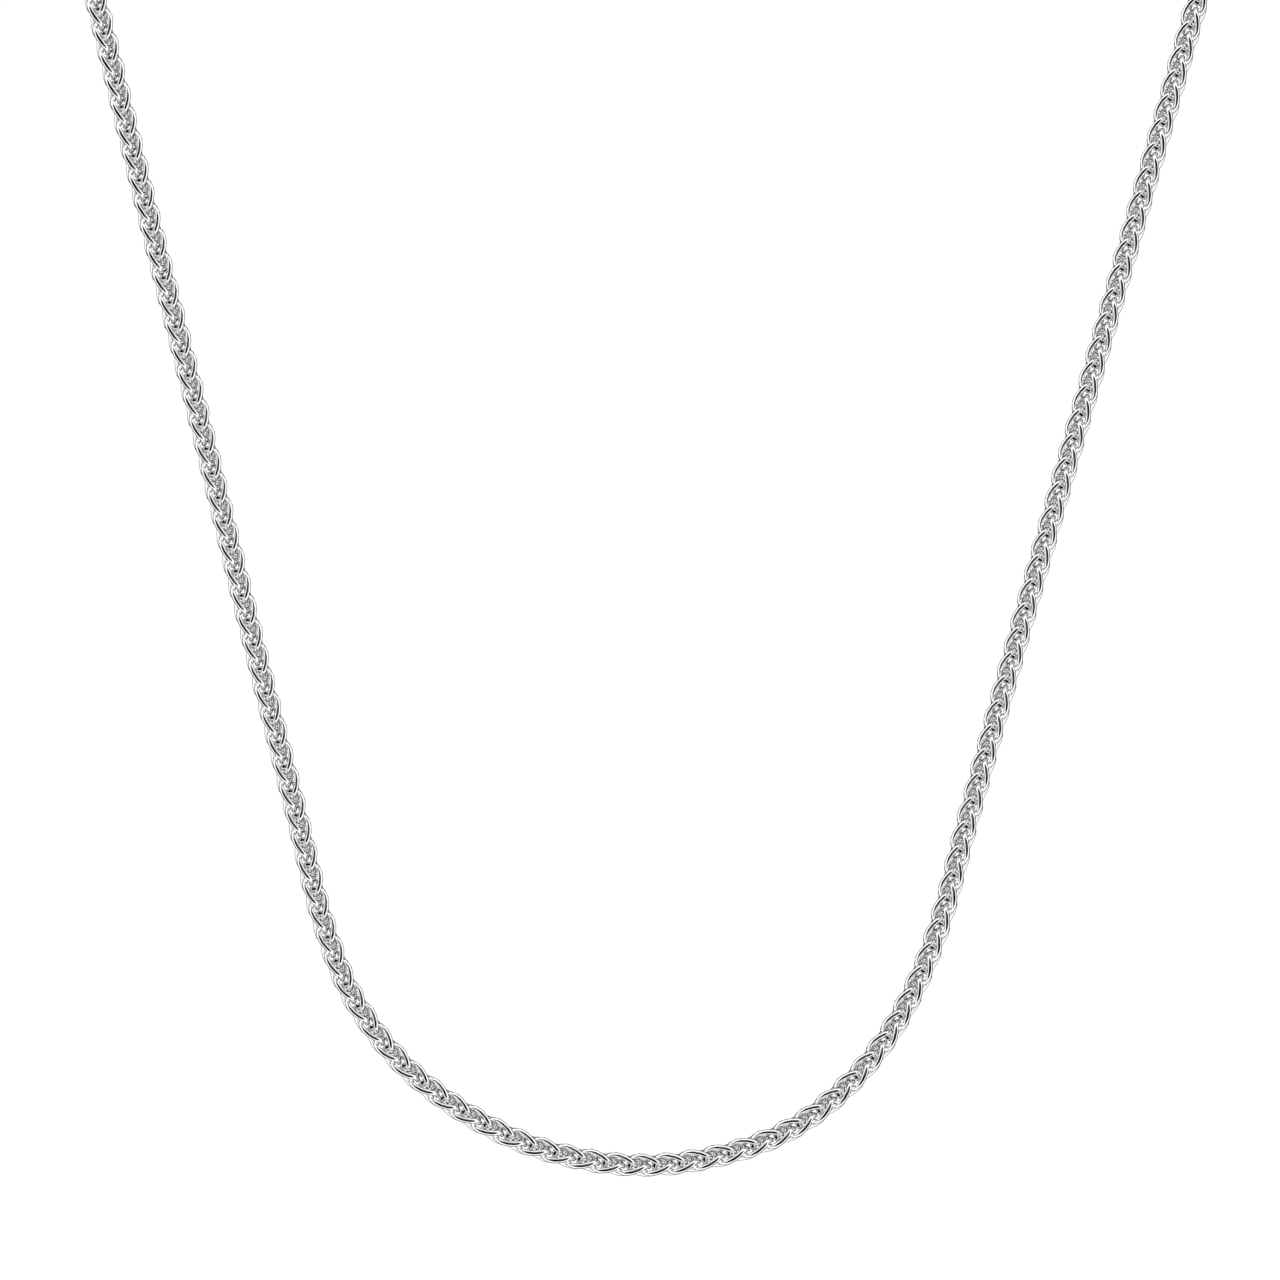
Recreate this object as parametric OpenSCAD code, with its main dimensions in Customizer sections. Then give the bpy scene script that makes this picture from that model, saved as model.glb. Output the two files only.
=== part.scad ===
// Wheat chain necklace, worn as a closed loop with its front on a sloping chest.
// The loop hangs from the nape of the neck. The origin is at the middle of the
// clasp, on the side that lies against the neck. Front is -Y and up is +Z.

/* [Chain] */
// Width across the woven chain
chain_d = 1.9; // [1.5:0.1:2.6]
// Slope of the chest under the front of the chain, in degrees from upright
lean = 20; // [5:1:30]
// Wire of the soldered link at each end of the chain
end_wire = 0.4; // [0.3:0.05:0.6]
// Outer length of the soldered end link
end_len = 3; // [2.6:0.1:4]
// Outer width of the soldered end link
end_w = 1.9; // [1.8:0.1:2.6]

/* [Rings] */
// Outer diameter of the ring that the clasp closes round
catch_ring_d = 4.4; // [4:0.1:6]
// Wire of the ring that the clasp closes round
catch_wire = 0.7; // [0.5:0.05:0.8]
// Outer diameter of the jump ring in the eye of the clasp
jump_ring_d = 3.6; // [3.4:0.1:5]
// Wire of the jump ring in the eye of the clasp
jump_wire = 0.6; // [0.5:0.05:0.7]

/* [Clasp] */
// Outer width of the closed hook at its round front
hook_w = 4.6; // [4.2:0.1:5.2]
// Outer width of the closed hook at its narrow back
back_w = 3.1; // [2.8:0.1:3.6]
// Distance between the centres of the two round ends of the hook
hook_run = 2.2; // [2:0.1:4]
// Thickness of the hook
hook_wire = 1.3; // [1:0.05:1.5]
// How much slimmer the sides and the neck are than the rounds that they join
slim = 0.15; // [0.1:0.05:0.3]
// Length of the neck between hook and eye
neck_len = 1.3; // [1:0.1:3]
// Outer diameter of the eye
eye_d = 2.6; // [2.6:0.1:4]
// Wire of the eye
eye_wire = 0.75; // [0.6:0.05:0.8]
// Diameter of the thumb tab on the lever
tab_d = 0.8; // [0.6:0.05:1.2]
// Height of the thumb tab above the lever
tab_h = 0.7; // [0.4:0.05:1.2]

/* [Fit] */
// Gap that is left between pieces that hang in one another
gap = 0.1; // [0.1:0.02:0.2]

/* [Hidden] */
$fn = 32;

// Sides of the tube that stands for the weave, and its rings from one route
// point to the next
tube_sides = 8;
span_rings = 2;
tube_r = chain_d / 2 / cos(180 / tube_sides);

// Half thickness of the clasp, which lifts every centreline off the neck
seat = hook_wire / 2;

// Centreline radii of the round pieces
catch_r = (catch_ring_d - catch_wire) / 2;
jump_r = (jump_ring_d - jump_wire) / 2;
end_r = (end_w - end_wire) / 2;
hook_r = (hook_w - hook_wire) / 2;
back_r = (back_w - hook_wire) / 2;
eye_r = (eye_d - eye_wire) / 2;

// Straight run between the round ends of an end link
end_run = end_len - end_w;

// Distance between two crossing wires that hang in one another
function wires_apart(a, b) = (a + b) / 2 + gap;

// Places along X at the nape, from the middle of the clasp outwards
clasp_len = hook_w / 2 + hook_run + back_w / 2 + neck_len + eye_d;
hook_tip_x = clasp_len / 2 - hook_wire / 2;
eye_tip_x = -clasp_len / 2 + eye_wire / 2;
hook_x = hook_tip_x - hook_r - hook_run / 2;
eye_x = eye_tip_x + eye_r;
catch_x = hook_tip_x - wires_apart(hook_wire, catch_wire) + catch_r;
jump_x = eye_tip_x + wires_apart(eye_wire, jump_wire) - jump_r;
end_right_x = catch_x + catch_r - wires_apart(catch_wire, end_wire) + end_r + end_run / 2;
end_left_x = jump_x - jump_r + wires_apart(jump_wire, end_wire) - end_r - end_run / 2;
tube_right_x = end_right_x + end_len / 2 + gap;
tube_left_x = end_left_x - end_len / 2 - gap;

// The points that the chain passes, in the plane of its front before that plane
// leans: across, back from the front plane and up, measured from the nape.
ACROSS = 0;
BACK = 1;
UP = 2;
nape_back = 62;
nape_up = 83;
chain_points = [
    [-20, 60.5, 81],
    [-32.5, 54.5, 77.5],
    [-43.5, 44.5, 71.5],
    [-50.5, 31.5, 63],
    [-53, 17.5, 53],
    [-52.5, 6.5, 41.5],
    [-50, 1, 30],
    [-46, 0, 16.5],
    [-42, 0, 0.5],
    [-38, 0, -16],
    [-34, 0, -32],
    [-30, 0, -48.5],
    [-26.5, 0, -62.5],
    [-24.5, 0, -70.5],
    [-22, 0, -76.5],
    [-17.5, 0, -82],
    [-10.5, 0, -86.5],
    [-3.5, 0, -88.5],
    [3, 0, -88.5],
    [10, 0, -86.5],
    [15, 0, -83],
    [19, 0, -78],
    [22, 0, -71.5],
    [24.5, 0, -62.5],
    [28.5, 0, -48],
    [33, 0, -32],
    [37.5, 0, -16],
    [42, 0, 0],
    [46.5, 0, 16],
    [50.5, 1, 30],
    [53, 6.5, 41.5],
    [53, 17.5, 53],
    [50.5, 31.5, 63],
    [43.5, 44.5, 71.5],
    [32.5, 54.5, 77.5],
    [20, 60.5, 81]
];

// Leans one point of the route about the nape and lifts it off the neck
function worn(p) =
    let (y = p[BACK] - nape_back, z = p[UP] - nape_up)
    [p[ACROSS], y * cos(lean) + z * sin(lean) + seat, z * cos(lean) - y * sin(lean)];

route = concat(
    [[tube_left_x, seat, 0]],
    [for (p = chain_points) worn(p)],
    [[tube_right_x, seat, 0]]
);
last = len(route) - 1;

// Unit direction from one route point to the next, and the span between them
function unit(v) = v / norm(v);
function span(i) = norm(route[i + 1] - route[i]);
function chord(i) = unit(route[i + 1] - route[i]);

// Direction of the smooth route at each point: along X at the clasp, and
// elsewhere the mean of the two chords, the shorter one counting more
function heading(i) =
    i == 0 ? [-1, 0, 0] :
    i == last ? [-1, 0, 0] :
    unit(chord(i - 1) * span(i) + chord(i) * span(i - 1));

// A point of the smooth route between route points i and i + 1, by Hermite's formula
function between(i, t) =
    let (t2 = t * t, t3 = t2 * t)
    (2 * t3 - 3 * t2 + 1) * route[i]
    + (t3 - 2 * t2 + t) * span(i) * heading(i)
    + (3 * t2 - 2 * t3) * route[i + 1]
    + (t3 - t2) * span(i) * heading(i + 1);

// Ring centres along the whole route
centres = concat(
    [for (i = [0:last - 1]) for (k = [0:span_rings - 1]) between(i, k / span_rings)],
    [route[last]]
);
rings = len(centres);

// Direction of the tube at ring k
function along(k) =
    k == 0 ? heading(0) :
    k == rings - 1 ? heading(last) :
    unit(centres[k + 1] - centres[k - 1]);

// The side direction of each ring is carried on from the ring before it, so that
// the tube never twists
function carried(k, side) =
    let (flat = unit(side - (side * along(k)) * along(k)))
    k == rings - 1 ? [flat] : concat([flat], carried(k + 1, flat));
sides = carried(0, [0, 1, 0]);

// Corners of ring k
function ring_points(k) =
    let (a = sides[k], b = cross(along(k), a))
    [for (j = [0:tube_sides - 1])
        let (w = 360 * (j + 0.5) / tube_sides)
        centres[k] + tube_r * (cos(w) * a + sin(w) * b)];

module chain() {
    points = [for (k = [0:rings - 1]) for (p = ring_points(k)) p];
    walls = [
        for (k = [0:rings - 2]) for (j = [0:tube_sides - 1])
            let (n = (j + 1) % tube_sides, a = k * tube_sides, b = a + tube_sides)
            [a + j, b + j, b + n, a + n]
    ];
    first_cap = [for (j = [0:tube_sides - 1]) j];
    last_cap = [for (j = [tube_sides - 1:-1:0]) (rings - 1) * tube_sides + j];
    color("silver")
        polyhedron(points, concat(walls, [first_cap, last_cap]));
}

// A closed loop of round wire in the XZ plane: a round front end of radius r1, a
// round back end of radius r2 and the two straight sides that touch both. Sides
// that are thinner than the ends reach a little way into them.
module wire_loop(r1, r2, run, wire, side_wire) {
    touch = acos((r2 - r1) / run);
    bite = wire - side_wire;
    side = sqrt(run * run - (r1 - r2) * (r1 - r2));
    translate([run / 2, 0, 0])
        rotate([90, touch, 0])
            rotate_extrude(angle = 2 * touch)
                translate([r1, 0])
                    circle(d = wire);
    translate([-run / 2, 0, 0])
        rotate([90, -touch, 0])
            rotate_extrude(angle = 360 - 2 * touch)
                translate([r2, 0])
                    circle(d = wire);
    for (way = [-1, 1])
        translate([-run / 2 + r2 * cos(touch), 0, way * r2 * sin(touch)])
            rotate([0, 90 - way * (touch - 90), 0])
                translate([0, 0, -bite])
                    cylinder(h = side + 2 * bite, d = side_wire);
}

// A round ring of wire whose axis is upright
module wire_ring(r, wire) {
    rotate_extrude()
        translate([r, 0])
            circle(d = wire);
}

module end_link(x) {
    color("silver")
        translate([x, seat, 0])
            wire_loop(end_r, end_r, end_run, end_wire, end_wire);
}

module jump_ring() {
    color("silver")
        translate([jump_x, seat, 0])
            wire_ring(jump_r, jump_wire);
}

module catch_ring() {
    color("silver")
        translate([catch_x, seat, 0])
            wire_ring(catch_r, catch_wire);
}

// The neck of the clasp, turned about X: its radius swells by a half cosine wave
// from just inside the wire of the eye to just inside the wire of the hook
module clasp_neck() {
    reach = neck_len + (eye_wire + hook_wire) / 2;
    slices = 10;
    function neck_r(t) = (eye_wire - slim + (hook_wire - eye_wire) * (1 - cos(180 * t)) / 2) / 2;
    translate([eye_x + eye_r, 0, 0])
        rotate([0, 90, 0])
            rotate_extrude()
                polygon(concat(
                    [[0, 0]],
                    [for (k = [0:slices]) [neck_r(k / slices), reach * k / slices]],
                    [[0, reach]]
                ));
}

// The thumb tab of the lever, a short round-ended pin on the upper side
module thumb_tab() {
    lift = (hook_r + back_r) / 2;
    translate([hook_x, 0, lift])
        cylinder(h = hook_wire / 2 + tab_h - tab_d / 2, d = tab_d);
    translate([hook_x, 0, lift + hook_wire / 2 + tab_h - tab_d / 2])
        sphere(d = tab_d);
}

module clasp() {
    color("silver")
        translate([0, seat, 0]) {
            translate([hook_x, 0, 0])
                wire_loop(hook_r, back_r, hook_run, hook_wire, hook_wire - slim);
            translate([eye_x, 0, 0])
                rotate([90, 0, 0])
                    wire_ring(eye_r, eye_wire);
            clasp_neck();
            thumb_tab();
        }
}

chain();
end_link(end_left_x);  // end_link_left
end_link(end_right_x);  // end_link_right
jump_ring();
catch_ring();
clasp();
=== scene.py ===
# %% [markdown]
# A wheat chain necklace, link by link. The imported CAD model gives the frame: the
# clasp, its rings and the end links, and the places between which the chain runs.
# Everything is in metres, +Z up, with the wearer's front towards -Y. This first cell
# loads that frame, and part_box measures the box of any one of its parts.


# %% Load the frame
import math

import bpy
import numpy as np
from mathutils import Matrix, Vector


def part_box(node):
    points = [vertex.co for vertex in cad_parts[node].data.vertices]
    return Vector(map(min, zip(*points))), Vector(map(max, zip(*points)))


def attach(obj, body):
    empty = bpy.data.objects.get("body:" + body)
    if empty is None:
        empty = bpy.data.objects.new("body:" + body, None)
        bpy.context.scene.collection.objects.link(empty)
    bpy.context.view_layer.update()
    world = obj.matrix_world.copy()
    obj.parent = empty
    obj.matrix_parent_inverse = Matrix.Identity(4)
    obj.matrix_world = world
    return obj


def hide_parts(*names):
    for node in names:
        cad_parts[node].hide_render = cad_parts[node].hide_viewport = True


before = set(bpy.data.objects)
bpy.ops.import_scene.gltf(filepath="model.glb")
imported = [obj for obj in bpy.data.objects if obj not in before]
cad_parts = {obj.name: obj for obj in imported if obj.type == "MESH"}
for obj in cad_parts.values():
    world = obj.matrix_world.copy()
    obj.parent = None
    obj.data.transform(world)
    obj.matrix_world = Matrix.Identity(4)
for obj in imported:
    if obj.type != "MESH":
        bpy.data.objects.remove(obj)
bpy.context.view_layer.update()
MM = 0.001
print("nodes", sorted(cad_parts))


# %% [markdown]
# The chain lies on a sloping chest, so its front is a flat U in a plane that
# leans back. The route's points are given in that plane before it leans: across,
# back from the plane and up, in metres. They are the points of the CAD model, so
# the links follow the middle of its tube.


# %% The route's points
LEAN = math.radians(20)
NAPE_BACK = 0.062
NAPE_UP = 0.083
ROUTE_POINTS = np.array([
    [-0.0200, 0.0605, 0.0810],
    [-0.0325, 0.0545, 0.0775],
    [-0.0435, 0.0445, 0.0715],
    [-0.0505, 0.0315, 0.0630],
    [-0.0530, 0.0175, 0.0530],
    [-0.0525, 0.0065, 0.0415],
    [-0.0500, 0.0010, 0.0300],
    [-0.0460, 0.0000, 0.0165],
    [-0.0420, 0.0000, 0.0005],
    [-0.0380, 0.0000, -0.0160],
    [-0.0340, 0.0000, -0.0320],
    [-0.0300, 0.0000, -0.0485],
    [-0.0265, 0.0000, -0.0625],
    [-0.0245, 0.0000, -0.0705],
    [-0.0220, 0.0000, -0.0765],
    [-0.0175, 0.0000, -0.0820],
    [-0.0105, 0.0000, -0.0865],
    [-0.0035, 0.0000, -0.0885],
    [0.0030, 0.0000, -0.0885],
    [0.0100, 0.0000, -0.0865],
    [0.0150, 0.0000, -0.0830],
    [0.0190, 0.0000, -0.0780],
    [0.0220, 0.0000, -0.0715],
    [0.0245, 0.0000, -0.0625],
    [0.0285, 0.0000, -0.0480],
    [0.0330, 0.0000, -0.0320],
    [0.0375, 0.0000, -0.0160],
    [0.0420, 0.0000, 0.0000],
    [0.0465, 0.0000, 0.0160],
    [0.0505, 0.0010, 0.0300],
    [0.0530, 0.0065, 0.0415],
    [0.0530, 0.0175, 0.0530],
    [0.0505, 0.0315, 0.0630],
    [0.0435, 0.0445, 0.0715],
    [0.0325, 0.0545, 0.0775],
    [0.0200, 0.0605, 0.0810],
])

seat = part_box("clasp")[1].y / 2
lean_turn = np.array([
    [1, 0, 0],
    [0, math.cos(LEAN), math.sin(LEAN)],
    [0, -math.sin(LEAN), math.cos(LEAN)],
])


def worn(points):
    """Points of the upright plane, leant back about the nape and lifted off the neck."""
    moved = np.atleast_2d(points) - np.array([0, NAPE_BACK, NAPE_UP])
    return moved @ lean_turn.T + np.array([0, seat, 0])


front_out = lean_turn @ np.array([0, -1, 0])
print("the front leans", round(math.degrees(LEAN)), "degrees")


# %% [markdown]
# The camera looks at the leaning plane squarely, from far away through a long lens,
# so that both arms of the U show at the same size. Its view is as wide as the
# photograph at the chain's scale, and the photograph's top edge, which is at height
# 0 in the upright plane, cuts the two arms.


# %% The camera
PHOTO_PX = 1280
MM_PER_PX = 0.07614
PHOTO_CENTRE_X_PX = 646
LENS_MM = 150
SENSOR_MM = 36
view_width = PHOTO_PX * MM_PER_PX * MM
view_middle = worn([(PHOTO_PX / 2 - PHOTO_CENTRE_X_PX) * MM_PER_PX * MM, 0, -view_width / 2])[0]
view_distance = view_width * LENS_MM / SENSOR_MM

camera_data = bpy.data.cameras.new("camera")
camera_data.lens = LENS_MM
camera_data.sensor_width = SENSOR_MM
camera = bpy.data.objects.new("camera", camera_data)
bpy.context.scene.collection.objects.link(camera)
camera.location = Vector(view_middle + front_out * view_distance)
camera.rotation_euler = Vector(-front_out).to_track_quat("-Z", "Y").to_euler()
bpy.context.scene.camera = camera
print("camera", round(view_distance, 3), "m from the front of the chain")


# %% [markdown]
# The chain follows one smooth curve through the route's points. A Blender curve
# object could carry it, but then nothing would tell how long it is at each place,
# and the links need that. So Hermite's curve is worked out once at close steps: at
# each point the direction is the mean of the two chords that meet there, the
# shorter one counting more, and at the clasp it is level. Its length so far is kept
# with every step, and every link is then bent along it.


# %% The smooth route
STEPS_PER_SPAN = 60
END_GAP = 0.1 * MM


def unit_rows(rows):
    """Each row divided by its own length."""
    return rows / np.linalg.norm(rows, axis=-1, keepdims=True)


def hermite_route(points, end_heading):
    """Hermite's cubic from each point to the next, with the same direction on both
    sides of a point, as rows at even steps of the cubic's own parameter."""
    chords = np.diff(points, axis=0)
    spans = np.linalg.norm(chords, axis=1)
    units = chords / spans[:, None]
    inner = unit_rows(units[:-1] * spans[:-1, None] + units[1:] * spans[1:, None])
    headings = np.vstack([end_heading, inner, end_heading])
    t = (np.arange(STEPS_PER_SPAN) / STEPS_PER_SPAN)[None, :, None]
    start, stop = points[:-1, None], points[1:, None]
    leave = (headings[:-1] * spans[:, None])[:, None]
    arrive = (headings[1:] * spans[:, None])[:, None]
    rows = ((2 * t**3 - 3 * t**2 + 1) * start + (t**3 - 2 * t**2 + t) * leave
            + (3 * t**2 - 2 * t**3) * stop + (t**3 - t**2) * arrive)
    return np.vstack([rows.reshape(-1, 3), points[-1:]])


tube_left = [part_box("end_link_left")[0].x - END_GAP, seat, 0]
tube_right = [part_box("end_link_right")[1].x + END_GAP, seat, 0]
route = hermite_route(np.vstack([tube_left, worn(ROUTE_POINTS), tube_right]), [-1, 0, 0])
route_lengths = np.concatenate([[0], np.cumsum(np.linalg.norm(np.diff(route, axis=0), axis=1))])
route_length = route_lengths[-1]
headings = unit_rows(np.gradient(route, route_lengths, axis=0))
print("woven stretch", round(route_length / MM, 1), "mm")


# %% [markdown]
# Every place on the route also needs a pair of side directions, or the links
# couldn't tell in from out. They are carried from a point at the bottom of the U,
# where one of them faces the viewer, to both ends, and never twist about the curve:
# each step only tips the old side direction square to the new heading. Past the right
# shoulder the chain then turns slowly about itself, as real ones do, easing in and
# out, until its last link stands square to the soldered end link and can hook
# into it.


# %% Side directions
BOTTOM_POINT = 17
SHOULDER_POINT = 30
LAST_LINK_TURN = math.radians(75)
bottom_step = BOTTOM_POINT * STEPS_PER_SPAN
shoulder_step = SHOULDER_POINT * STEPS_PER_SPAN


def carry_sides(headings, first_side):
    """The side direction at each step is the one before, less its part along the new
    heading, made a unit again."""
    sides = np.empty_like(headings)
    sides[0] = first_side
    for step in range(1, len(headings)):
        side = sides[step - 1] - (sides[step - 1] @ headings[step]) * headings[step]
        sides[step] = side / np.linalg.norm(side)
    return sides


ahead = carry_sides(headings[bottom_step:], front_out)
behind = carry_sides(headings[bottom_step::-1], front_out)
plain_out = np.vstack([behind[:0:-1], ahead])
plain_in = np.cross(plain_out, headings)
past_shoulder = np.clip(route_lengths - route_lengths[shoulder_step], 0, None)
way = (past_shoulder / past_shoulder[-1])[:, None]
turned = LAST_LINK_TURN * way * way * (3 - 2 * way)
out_sides = np.cos(turned) * plain_out + np.sin(turned) * plain_in
in_sides = np.cos(turned) * plain_in - np.sin(turned) * plain_out
print("sides carried over", len(out_sides), "steps")


# %% Bending along the route
def along_route(distance, rows):
    """The route's table of rows read at any distance along it, and held past both ends."""
    inside = np.clip(distance, 0, route_length)
    return np.stack([np.interp(inside, route_lengths, rows[:, axis]) for axis in range(3)], -1)


def bend_to_route(local):
    """Points given as (along, in, out) are placed on the route: the point at that
    distance, run on straight past both ends, plus the two side directions there
    times the other two values."""
    distance = local[..., 0]
    past = distance - np.clip(distance, 0, route_length)
    middle = along_route(distance, route) + past[..., None] * along_route(distance, headings)
    return (middle + local[..., 1:2] * along_route(distance, in_sides)
            + local[..., 2:3] * along_route(distance, out_sides))


bottom_place = bend_to_route(np.array([route_lengths[bottom_step], 0, 0]))
print("the sides start at", (bottom_place / MM).round(1), "mm")


# %% [markdown]
# A wheat chain is woven from one kind of link: a long oval of round wire, twisted
# about its own length, and every link passes through the two before it. Links
# twist to the left and to the right by turns, and that makes the ear of wheat, with
# a V at each link. A link starts half a pitch after the one before it.
#
# The oval is one curve. It runs out and back along the chain by a cosine and opens
# to both sides by a sine, and its angle about the chain's middle grows from one end
# to the other. A real link isn't quite so even, because its neighbours press on it:
# one end rises, the other dips, and a small wave in three parts squares its shoulders.


# %% One woven link
WIRE = 0.41 * MM
LINK_RUN = 2.45 * MM
LINK_HALF_WIDTH = 0.865 * MM
OUTER_FULLER = -0.36
START_TURN = math.radians(7)
LINK_TWIST = math.radians(79)
TWIST_SWAY = math.radians(10.5)
CHAIN_ROLL = math.radians(-11.7)
END_RISE = 0.095 * MM
SHOULDER_WAVE = -0.079 * MM
MEASURING_STATIONS = 240


def link_curve(stations, hand):
    """The middle of the wire at even angles t once round the link. share is
    (1 - cos t) / 2, and along the chain the wire is at run * share. It stands off the
    middle by half width * sin t, turned about the middle by start + twist * share +
    sway * sin(2 pi share). Its outward part is (1 + fuller * cos t) times that, plus
    rise * cos t, and its inward part has wave * cos 3t added. hand is 1 or -1 and
    mirrors the link across the chain's own upright plane, before the chain's roll."""
    t = np.arange(stations) / stations * 2 * math.pi
    share = (1 - np.cos(t)) / 2
    turn = START_TURN + LINK_TWIST * share + TWIST_SWAY * np.sin(2 * math.pi * share)
    off = LINK_HALF_WIDTH * np.sin(t)
    inward = hand * (off * np.cos(turn) + SHOULDER_WAVE * np.cos(3 * t))
    outward = off * np.sin(turn) * (1 + OUTER_FULLER * np.cos(t)) + END_RISE * np.cos(t)
    rolled_in = inward * math.cos(CHAIN_ROLL) - outward * math.sin(CHAIN_ROLL)
    rolled_out = inward * math.sin(CHAIN_ROLL) + outward * math.cos(CHAIN_ROLL)
    return np.stack([LINK_RUN * share, rolled_in, rolled_out], -1)


one_link = link_curve(MEASURING_STATIONS, 1)
wire_length = np.linalg.norm(np.roll(one_link, -1, 0) - one_link, axis=1).sum()
print("wire in one link", round(wire_length / MM, 2), "mm")


# %% [markdown]
# The weave fills the whole route. The first and the last link reach past its ends,
# so that each hooks through the soldered end link there. The links between them
# stand at one even step, as near to half a pitch as a whole number of links allows.


# %% Where each link starts
PITCH = 1.915 * MM
END_REACH = 0.735 * MM
link_stretch = route_length + 2 * END_REACH - LINK_RUN
gap_count = round(link_stretch / (PITCH / 2))
link_step = link_stretch / gap_count
link_starts = -END_REACH + link_step * np.arange(gap_count + 1)
print("woven links", len(link_starts), "one every", round(link_step / MM, 4), "mm")


# %% [markdown]
# The wire gets its thickness from rings of points round that curve. For all links
# at once, each station has a heading, a side that points away from the link's own
# middle, and a third direction square to both. There are hundreds of links, so the
# wire has only six sides. Their corners stand a little outside the round wire, far
# enough for the six-sided wire to measure the same round as the real one.


# %% Wire round closed curves
LINK_STATIONS = 16
WIRE_SIDES = 6
RING_RADIUS = WIRE / 2 * (math.pi / WIRE_SIDES) / math.sin(math.pi / WIRE_SIDES)


def wire_rings(middles, radius, sides):
    """Rings of points round closed curves. middles holds (curves, stations, 3). A ring
    is the station plus radius * (cos a * side + sin a * across) for even angles a."""
    heading = unit_rows(np.roll(middles, -1, 1) - np.roll(middles, 1, 1))
    away = middles - middles.mean(1, keepdims=True)
    side = unit_rows(away - (away * heading).sum(-1, keepdims=True) * heading)
    across = np.cross(heading, side)
    a = np.arange(sides) / sides * 2 * math.pi
    return middles[:, :, None] + radius * (np.cos(a)[:, None] * side[:, :, None]
                                           + np.sin(a)[:, None] * across[:, :, None])


def ring_faces(curves, stations, sides):
    """Quads between neighbouring rings of every closed curve, as rows of four corners."""
    c, s, k = np.meshgrid(np.arange(curves), np.arange(stations), np.arange(sides), indexing="ij")
    here, after = (c * stations + s) * sides, (c * stations + (s + 1) % stations) * sides
    beside = (k + 1) % sides
    return np.stack([here + k, here + beside, after + beside, after + k], -1).reshape(-1, 4)


print("corners of the wire stand", round(RING_RADIUS / MM, 4), "mm from its middle")


# %% [markdown]
# Drawing the wire leaves faint lines along it, so a pattern on it has to follow it
# round the link. A texture laid out by hand could do that. Here each vertex keeps a
# place on a plain round ring beside its place on the chain: the same stations and
# the same sides, but neither bent nor twisted. A pattern read at those places runs
# along the wire, and closes without a seam.


# %% Places that follow the wire
DRAWN_REACH = 1.2
LINK_SHIFT = 3.7


def ring_places(stations, sides, links):
    """A place for each vertex on a small round ring, for patterns that follow the wire:
    ((reach + cos a) cos t, (reach + cos a) sin t, sin a), moved on by a step for each
    link. It closes without a seam both round the wire and round the link."""
    t = (np.arange(stations) / stations * 2 * math.pi)[None, :, None]
    a = (np.arange(sides) / sides * 2 * math.pi)[None, None, :]
    reach = DRAWN_REACH + np.cos(a)
    shift = (np.arange(links) * LINK_SHIFT)[:, None, None]
    return np.stack(np.broadcast_arrays(reach * np.cos(t), reach * np.sin(t),
                                        np.sin(a) + shift), -1)


print("places on one link", ring_places(LINK_STATIONS, WIRE_SIDES, 1)[0].shape)


# %% [markdown]
# Copies of one link object could make the chain, but each link has its own bend, and
# hundreds of objects are slow to handle. So all links of one hand are one mesh, whose
# points and faces go in as whole arrays. Both meshes ride on the part's one body and
# replace the CAD model's tube.


# %% The woven links
def mesh_piece(name, points, quads):
    """A smooth mesh object at the origin from rows of points and rows of quads."""
    mesh = bpy.data.meshes.new(name)
    mesh.vertices.add(len(points))
    mesh.vertices.foreach_set("co", points.astype(np.float32).ravel())
    mesh.loops.add(quads.size)
    mesh.loops.foreach_set("vertex_index", quads.astype(np.int32).ravel())
    mesh.polygons.add(len(quads))
    mesh.polygons.foreach_set("loop_start", np.arange(len(quads), dtype=np.int32) * 4)
    mesh.polygons.foreach_set("use_smooth", np.ones(len(quads), dtype=bool))
    mesh.update(calc_edges=True)
    mesh.validate()
    piece = bpy.data.objects.new(name, mesh)
    bpy.context.scene.collection.objects.link(piece)
    return piece


def woven_links(name, hand, starts):
    """All links of one hand as one mesh, bent along the route."""
    curve = link_curve(LINK_STATIONS, hand)
    local = np.repeat(curve[None], len(starts), 0)
    local[..., 0] += starts[:, None]
    rings = wire_rings(bend_to_route(local), RING_RADIUS, WIRE_SIDES)
    quads = ring_faces(len(starts), LINK_STATIONS, WIRE_SIDES)
    piece = mesh_piece(name, rings.reshape(-1, 3), quads)
    places = piece.data.attributes.new("drawn_place", "FLOAT_VECTOR", "POINT")
    drawn = ring_places(LINK_STATIONS, WIRE_SIDES, len(starts))
    places.data.foreach_set("vector", drawn.astype(np.float32).ravel())
    print(name, len(starts), "links", 2 * len(quads), "triangles")
    return piece


left_links = woven_links("links_left_hand", 1, link_starts[0::2])
right_links = woven_links("links_right_hand", -1, link_starts[1::2])

for links_piece in (left_links, right_links):
    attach(links_piece, "root")
    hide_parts("chain")


# %% [markdown]
# Polished silver is a mirror that keeps nearly all the light, and it is perfectly
# neutral in colour here. What tells it from chrome paint is small: drawn wire keeps
# faint lines along its length, and tumbling with steel shot leaves shallow dents, so
# the mirror isn't quite even. Pictures could give that. Here it is worked out from
# two noises in one shader node group, which the wire, the rings and the clasp all
# use, each with its own values.


# %% Nodes for a surface that isn't quite even
NOISE_LOW = 0.3
NOISE_HIGH = 0.7


def add_node(tree, kind, **settings):
    """A new node of one kind with its settings."""
    node = tree.nodes.new(kind)
    for name, value in settings.items():
        setattr(node, name, value)
    return node


def noise_value(tree, place, scale, detail):
    """The output of a noise at a place, with its scale and detail."""
    noise = add_node(tree, "ShaderNodeTexNoise")
    noise.inputs["Detail"].default_value = detail
    tree.links.new(place, noise.inputs["Vector"])
    tree.links.new(scale, noise.inputs["Scale"])
    return noise.outputs["Fac"]


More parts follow.
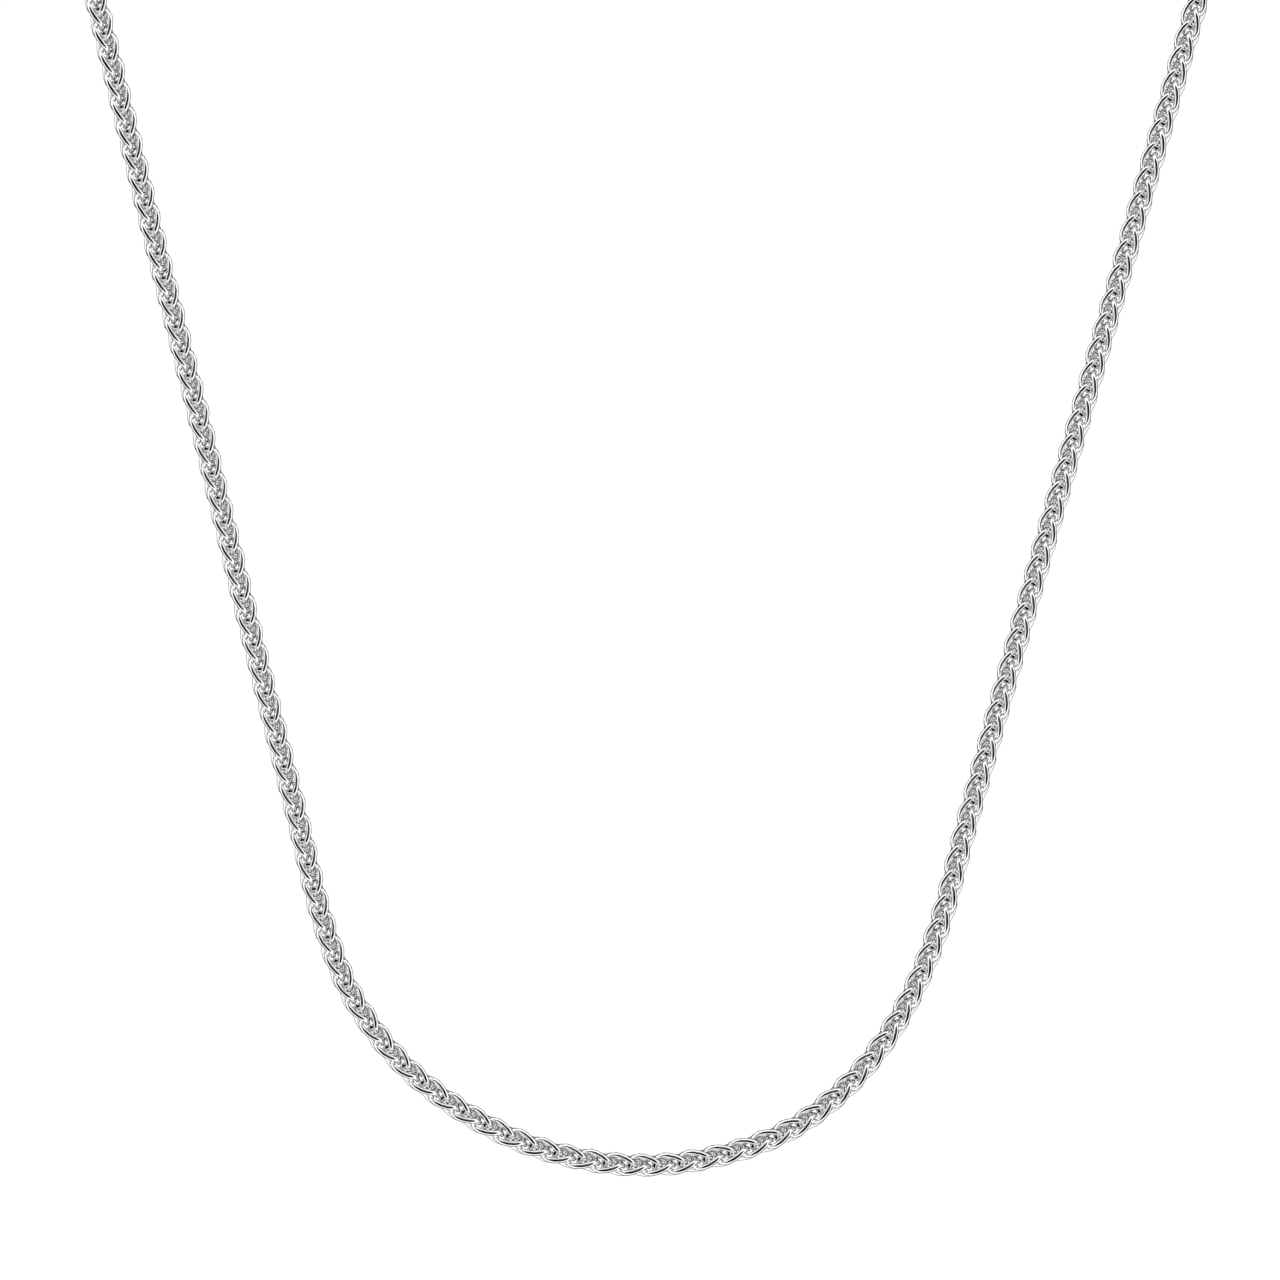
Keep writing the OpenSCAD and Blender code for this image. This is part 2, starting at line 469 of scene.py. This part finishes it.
def value_between(tree, share, low, high):
    """A noise's value, which mostly lies between NOISE_LOW and NOISE_HIGH, mapped
    between two inputs."""
    spread = add_node(tree, "ShaderNodeMapRange")
    spread.inputs["From Min"].default_value = NOISE_LOW
    spread.inputs["From Max"].default_value = NOISE_HIGH
    tree.links.new(share, spread.inputs["Value"])
    tree.links.new(low, spread.inputs["To Min"])
    tree.links.new(high, spread.inputs["To Max"])
    return spread.outputs["Result"]


print("noise is read between", NOISE_LOW, "and", NOISE_HIGH)


# %% The polish group
FINE_DETAIL = 3
BROAD_DETAIL = 1


def polish_group():
    """Tone, roughness and normal of tumbled silver. The fine noise sets the roughness
    and the height of the bump, and the broad one the tone."""
    group = bpy.data.node_groups.new("tumbled_polish", "ShaderNodeTree")
    face = group.interface
    face.new_socket("Place", in_out="INPUT", socket_type="NodeSocketVector")
    for name in ("Fine Scale", "Broad Scale", "Tone Low", "Tone High", "Rough Low",
                 "Rough High", "Dent Depth"):
        face.new_socket(name, in_out="INPUT", socket_type="NodeSocketFloat")
    face.new_socket("Color", in_out="OUTPUT", socket_type="NodeSocketColor")
    face.new_socket("Roughness", in_out="OUTPUT", socket_type="NodeSocketFloat")
    face.new_socket("Normal", in_out="OUTPUT", socket_type="NodeSocketVector")
    given = add_node(group, "NodeGroupInput").outputs
    fine = noise_value(group, given["Place"], given["Fine Scale"], FINE_DETAIL)
    broad = noise_value(group, given["Place"], given["Broad Scale"], BROAD_DETAIL)
    tone = value_between(group, broad, given["Tone Low"], given["Tone High"])
    rough = value_between(group, fine, given["Rough Low"], given["Rough High"])
    grey = add_node(group, "ShaderNodeCombineColor")
    for channel in ("Red", "Green", "Blue"):
        group.links.new(tone, grey.inputs[channel])
    bump = add_node(group, "ShaderNodeBump")
    bump.inputs["Strength"].default_value = 1
    group.links.new(given["Dent Depth"], bump.inputs["Distance"])
    group.links.new(fine, bump.inputs["Height"])
    out = add_node(group, "NodeGroupOutput").inputs
    group.links.new(grey.outputs["Color"], out["Color"])
    group.links.new(rough, out["Roughness"])
    group.links.new(bump.outputs["Normal"], out["Normal"])
    return group


polish = polish_group()
print("polish inputs", [socket.name for socket in polish.interface.items_tree
                        if socket.in_out == "INPUT"])


# %% [markdown]
# Three finishes come from that group. The links' wire takes its place from the ring
# coordinates stored with the mesh, so that the lines follow each wire. The soldered
# rings and end links have the same polish in plain object coordinates, which are in
# metres, so their scales are large numbers. The clasp is cast, so its dents are
# broader and its mirror is softer.


# %% Silver finishes
def silver(name, place_of, values):
    """A polished silver: the group feeds colour, roughness and normal."""
    material = bpy.data.materials.new(name)
    material.use_nodes = True
    tree = material.node_tree
    shader = tree.nodes["Principled BSDF"]
    shader.inputs["Metallic"].default_value = 1
    effect = add_node(tree, "ShaderNodeGroup", node_tree=polish)
    for socket, value in values.items():
        effect.inputs[socket].default_value = value
    tree.links.new(place_of(tree), effect.inputs["Place"])
    tree.links.new(effect.outputs["Color"], shader.inputs["Base Color"])
    tree.links.new(effect.outputs["Roughness"], shader.inputs["Roughness"])
    tree.links.new(effect.outputs["Normal"], shader.inputs["Normal"])
    return material


def drawn_place(tree):
    """The place stored with the mesh, which follows the wire."""
    return add_node(tree, "ShaderNodeAttribute", attribute_name="drawn_place").outputs["Vector"]


def object_place(tree):
    """The place in metres on a piece."""
    return add_node(tree, "ShaderNodeTexCoord").outputs["Object"]


chain_silver = silver("chain_silver", drawn_place, {
    "Fine Scale": 6, "Broad Scale": 0.9, "Tone Low": 0.93, "Tone High": 0.96,
    "Rough Low": 0.05, "Rough High": 0.09, "Dent Depth": 0.0003 * MM})
ring_silver = silver("ring_silver", object_place, {
    "Fine Scale": 5200, "Broad Scale": 700, "Tone Low": 0.93, "Tone High": 0.96,
    "Rough Low": 0.06, "Rough High": 0.10, "Dent Depth": 0.0004 * MM})
clasp_silver = silver("clasp_silver", object_place, {
    "Fine Scale": 2600, "Broad Scale": 350, "Tone Low": 0.90, "Tone High": 0.95,
    "Rough Low": 0.10, "Rough High": 0.17, "Dent Depth": 0.0012 * MM})
print("finishes", [m.name for m in (chain_silver, ring_silver, clasp_silver)])


# %% Which piece has which finish
for links_piece in (left_links, right_links):
    links_piece.data.materials.append(chain_silver)
for node_name, finish in (("end_link_left", ring_silver), ("end_link_right", ring_silver),
                          ("jump_ring", ring_silver), ("catch_ring", ring_silver),
                          ("clasp", clasp_silver)):
    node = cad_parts[node_name]
    node.data.materials.clear()
    node.data.materials.append(finish)
    print(node_name, "in", finish.name)


# %% [markdown]
# A mirror has no look of its own: it shows the room. In the photograph a dark line
# runs along the middle of each wire, where it reflects the dark room round the
# camera. Bright bands lie beside it, from the white walls of a light tent, and the
# wire's edges are grey again, from behind. A panorama could give this. Here the
# room's tone is a curve over the angle from the camera's side, in the world's own
# nodes, which only mirror rays see. All else sees plain white, so the floor is even.


# %% The studio's room
ROOM_TONES = [
    (180, 0.0),
    (125, 0.12),
    (112, 0.50),
    (98, 1.05),
    (84, 1.25),
    (60, 1.20),
    (52, 0.50),
    (44, 0.0),
    (0, 0.0),
]


def ramp_place(degrees):
    """Where an angle from the camera's side lies on the ramp, by its cosine."""
    return (math.cos(math.radians(degrees)) + 1) / 2


world = bpy.data.worlds.new("studio_room")
bpy.context.scene.world = world
world.use_nodes = True
room = world.node_tree
direction = add_node(room, "ShaderNodeTexCoord").outputs["Generated"]
facing = add_node(room, "ShaderNodeVectorMath", operation="DOT_PRODUCT")
facing.inputs[1].default_value = tuple(front_out)
room.links.new(direction, facing.inputs[0])
facing_share = add_node(room, "ShaderNodeMapRange")
facing_share.inputs["From Min"].default_value = -1
room.links.new(facing.outputs["Value"], facing_share.inputs["Value"])
tones = add_node(room, "ShaderNodeValToRGB")
room.links.new(facing_share.outputs["Result"], tones.inputs["Fac"])

stops = tones.color_ramp.elements
stops.remove(stops[1])
stops[0].position = ramp_place(ROOM_TONES[0][0])
for degrees, tone in ROOM_TONES[1:]:
    stops.new(ramp_place(degrees))
for stop, (degrees, tone) in zip(stops, ROOM_TONES):
    stop.color = (tone, tone, tone, 1)
print("room tones", len(stops), "stops")


# %% The room for mirror rays, plain white for all else
PLAIN_WHITE = 1.06
mirror_ray = add_node(room, "ShaderNodeLightPath").outputs["Is Glossy Ray"]
shown = add_node(room, "ShaderNodeMix", data_type="RGBA")
shown.inputs["A"].default_value = (PLAIN_WHITE, PLAIN_WHITE, PLAIN_WHITE, 1)
room.links.new(mirror_ray, shown.inputs["Factor"])
room.links.new(tones.outputs["Color"], shown.inputs["B"])
room.links.new(shown.outputs["Result"], room.nodes["Background"].inputs["Color"])
print("plain white", PLAIN_WHITE)


# %% [markdown]
# One small soft light hangs in front of the middle of the U. Each stretch of chain
# sees it on its inner flank, and there the bright band is a little wider.


# %% Front light
PANEL_WIDTH = 0.045
PANEL_HEIGHT = 0.085
PANEL_AWAY = 0.06
PANEL_UP = -0.032
PANEL_WATTS = 0.0016

panel_data = bpy.data.lights.new("front_panel", "AREA")
panel_data.shape = "RECTANGLE"
panel_data.size = PANEL_WIDTH
panel_data.size_y = PANEL_HEIGHT
panel_data.energy = PANEL_WATTS
panel = bpy.data.objects.new("front_panel", panel_data)
bpy.context.scene.collection.objects.link(panel)
panel.location = Vector(worn([0, 0, PANEL_UP])[0] + front_out * PANEL_AWAY)
panel.rotation_euler = Vector(-front_out).to_track_quat("-Z", "Y").to_euler()
panel.visible_camera = False
print("front panel at", [round(v, 3) for v in panel.location])


# %% [markdown]
# The floor is white paper, far enough below for the chain to throw no shadow on it,
# as in the photograph. Its tone varies by a trace, as paper's does, and mirror rays
# pass it by, so that the silver sees the room alone.


# %% Floor
PAPER_TONE_LOW = 0.955
PAPER_TONE_HIGH = 0.965
PAPER_ROUGHNESS = 0.9
PAPER_CLOUD_SCALE = 4
FLOOR_SIDE = 8
FLOOR_DROP = 0.30


def paper():
    """White paper: a broad noise moves its tone by a trace."""
    material = bpy.data.materials.new("floor_paper")
    material.use_nodes = True
    tree = material.node_tree
    shader = tree.nodes["Principled BSDF"]
    shader.inputs["Roughness"].default_value = PAPER_ROUGHNESS
    shader.inputs["Specular IOR Level"].default_value = 0
    cloud = add_node(tree, "ShaderNodeTexNoise")
    cloud.inputs["Scale"].default_value = PAPER_CLOUD_SCALE
    tree.links.new(object_place(tree), cloud.inputs["Vector"])
    ramp = add_node(tree, "ShaderNodeValToRGB")
    for stop, tone in zip(ramp.color_ramp.elements, (PAPER_TONE_LOW, PAPER_TONE_HIGH)):
        stop.color = (tone, tone, tone, 1)
    tree.links.new(cloud.outputs["Fac"], ramp.inputs["Fac"])
    tree.links.new(ramp.outputs["Color"], shader.inputs["Base Color"])
    return material


half = FLOOR_SIDE / 2
floor_mesh = bpy.data.meshes.new("floor")
floor_mesh.from_pydata([(-half, -half, -FLOOR_DROP), (half, -half, -FLOOR_DROP),
                        (half, half, -FLOOR_DROP), (-half, half, -FLOOR_DROP)], [], [(0, 1, 2, 3)])
floor = bpy.data.objects.new("floor", floor_mesh)
bpy.context.scene.collection.objects.link(floor)
floor.data.materials.append(paper())
floor.visible_glossy = False
bpy.context.scene.view_settings.view_transform = "Standard"
print("floor", FLOOR_DROP, "m below the nape")
